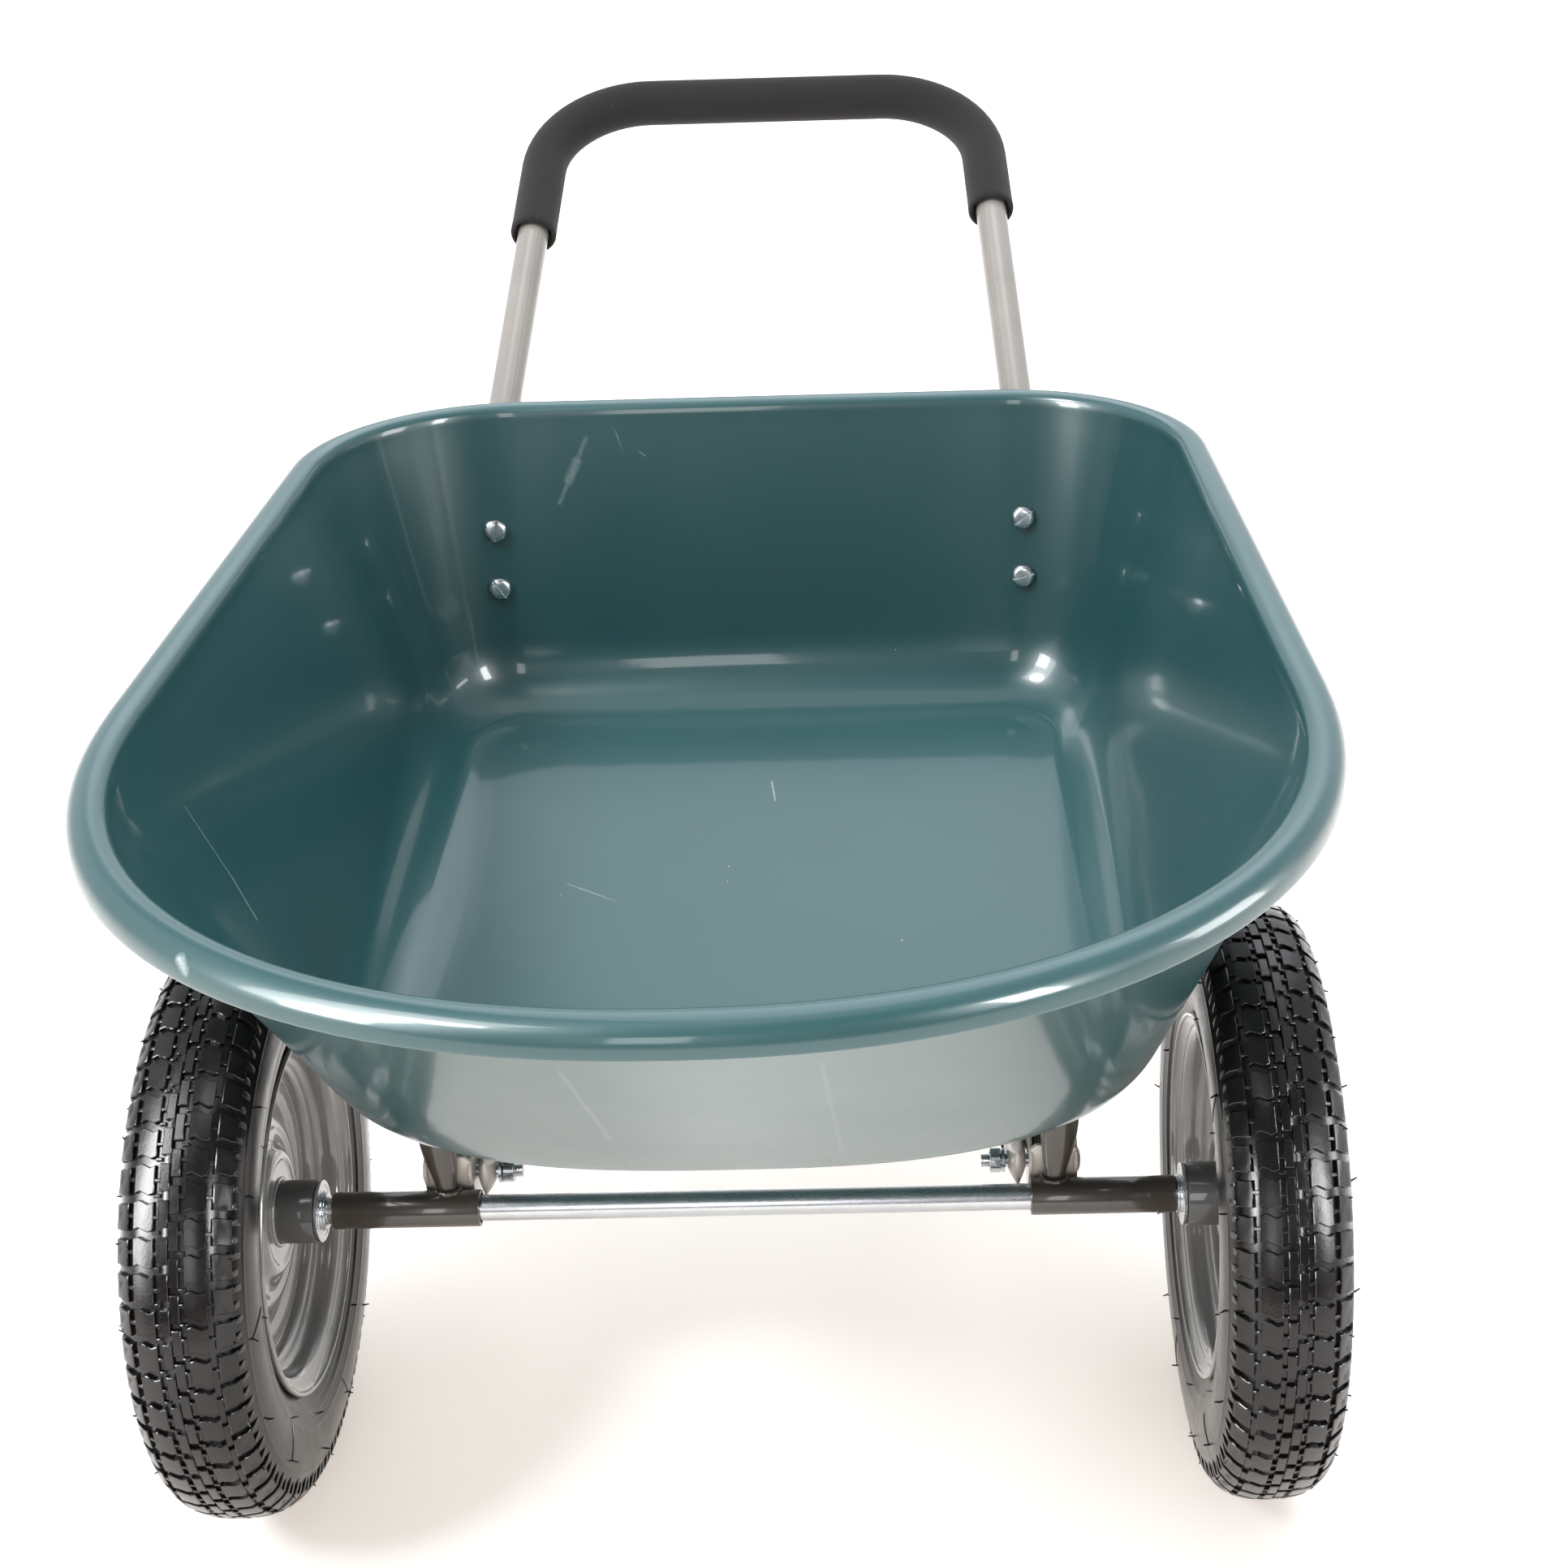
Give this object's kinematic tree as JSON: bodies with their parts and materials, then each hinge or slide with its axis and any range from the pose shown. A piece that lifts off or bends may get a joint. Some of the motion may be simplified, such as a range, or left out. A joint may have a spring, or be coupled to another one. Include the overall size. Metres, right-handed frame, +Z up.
{
  "type": "wheelbarrow",
  "caption": "Wheelbarrow with a deep moulded tub on a tube frame, a bent push handle with a foam grip, a rear stand and pneumatic wheels on a plain axle.",
  "frame": {"origin": "on the ground, below the middle of the cart's box", "axes": "+Z up; +Y towards the push handle, -Y towards the tub's nose; +X to the right as seen from the nose"},
  "size_m": [0.654, 1.1688, 0.6436],
  "materials": {
    "tub_plastic": "glossy moulded plastic, teal green",
    "frame_paint": "smooth warm grey powder coat",
    "dark_paint": "glossy dark grey-brown enamel",
    "grip_foam": "matt closed-cell foam, near black",
    "zinc": "bright zinc plate",
    "tyre_rubber": "satin black rubber",
    "tube_rubber": "matt black rubber",
    "rim_paint": "glossy grey enamel"
  },
  "bodies": {
    "frame": {"tub": "tub_plastic", "push_handle": "frame_paint", "foam_grip": "grip_foam", "stand_leg": "frame_paint", "axle_rod": "zinc", "side_rail_left": "frame_paint", "axle_sleeve_left": "dark_paint", "axle_strut_left": "dark_paint", "axle_bracket_left": "frame_paint", "stand_brace_left": "frame_paint", "wall_bolt_lower_left": "zinc", "wall_bolt_upper_left": "zinc", "wall_nut_lower_left": "zinc", "wall_nut_upper_left": "zinc", "floor_bolt_left": "zinc", "floor_nut_left": "zinc", "cross_bolt_left": "zinc", "lock_washer_left": "zinc", "cross_nut_left": "zinc", "stand_bolt_left": "zinc", "stand_nut_left": "zinc", "brace_bolt_left": "zinc", "brace_nut_left": "zinc", "axle_washer_inner_left": "zinc", "axle_washer_outer_left": "zinc", "cotter_pin_left": "zinc", "side_rail_right": "frame_paint", "axle_sleeve_right": "dark_paint", "axle_strut_right": "dark_paint", "axle_bracket_right": "frame_paint", "stand_brace_right": "frame_paint", "wall_bolt_lower_right": "zinc", "wall_bolt_upper_right": "zinc", "wall_nut_lower_right": "zinc", "wall_nut_upper_right": "zinc", "floor_bolt_right": "zinc", "floor_nut_right": "zinc", "cross_bolt_right": "zinc", "lock_washer_right": "zinc", "cross_nut_right": "zinc", "stand_bolt_right": "zinc", "stand_nut_right": "zinc", "brace_bolt_right": "zinc", "brace_nut_right": "zinc", "axle_washer_inner_right": "zinc", "axle_washer_outer_right": "zinc", "cotter_pin_right": "zinc"},
    "left_wheel": {"tyre_left": "tyre_rubber", "inner_tube_left": "tube_rubber", "wheel_rim_left": "rim_paint", "wheel_hub_left": "rim_paint", "bearing_inner_left": "zinc", "bearing_outer_left": "zinc"},
    "right_wheel": {"tyre_right": "tyre_rubber", "inner_tube_right": "tube_rubber", "wheel_rim_right": "rim_paint", "wheel_hub_right": "rim_paint", "bearing_inner_right": "zinc", "bearing_outer_right": "zinc"}
  },
  "joints": [
    {"name": "left_wheel_spin", "type": "hinge", "parent": "frame", "child": "left_wheel", "pos_m": [-0.2837, -0.2425, 0.168], "axis": [1, 0, 0], "continuous": true},
    {"name": "right_wheel_spin", "type": "hinge", "parent": "frame", "child": "right_wheel", "pos_m": [0.2837, -0.2425, 0.168], "axis": [1, 0, 0], "continuous": true}
  ]
}
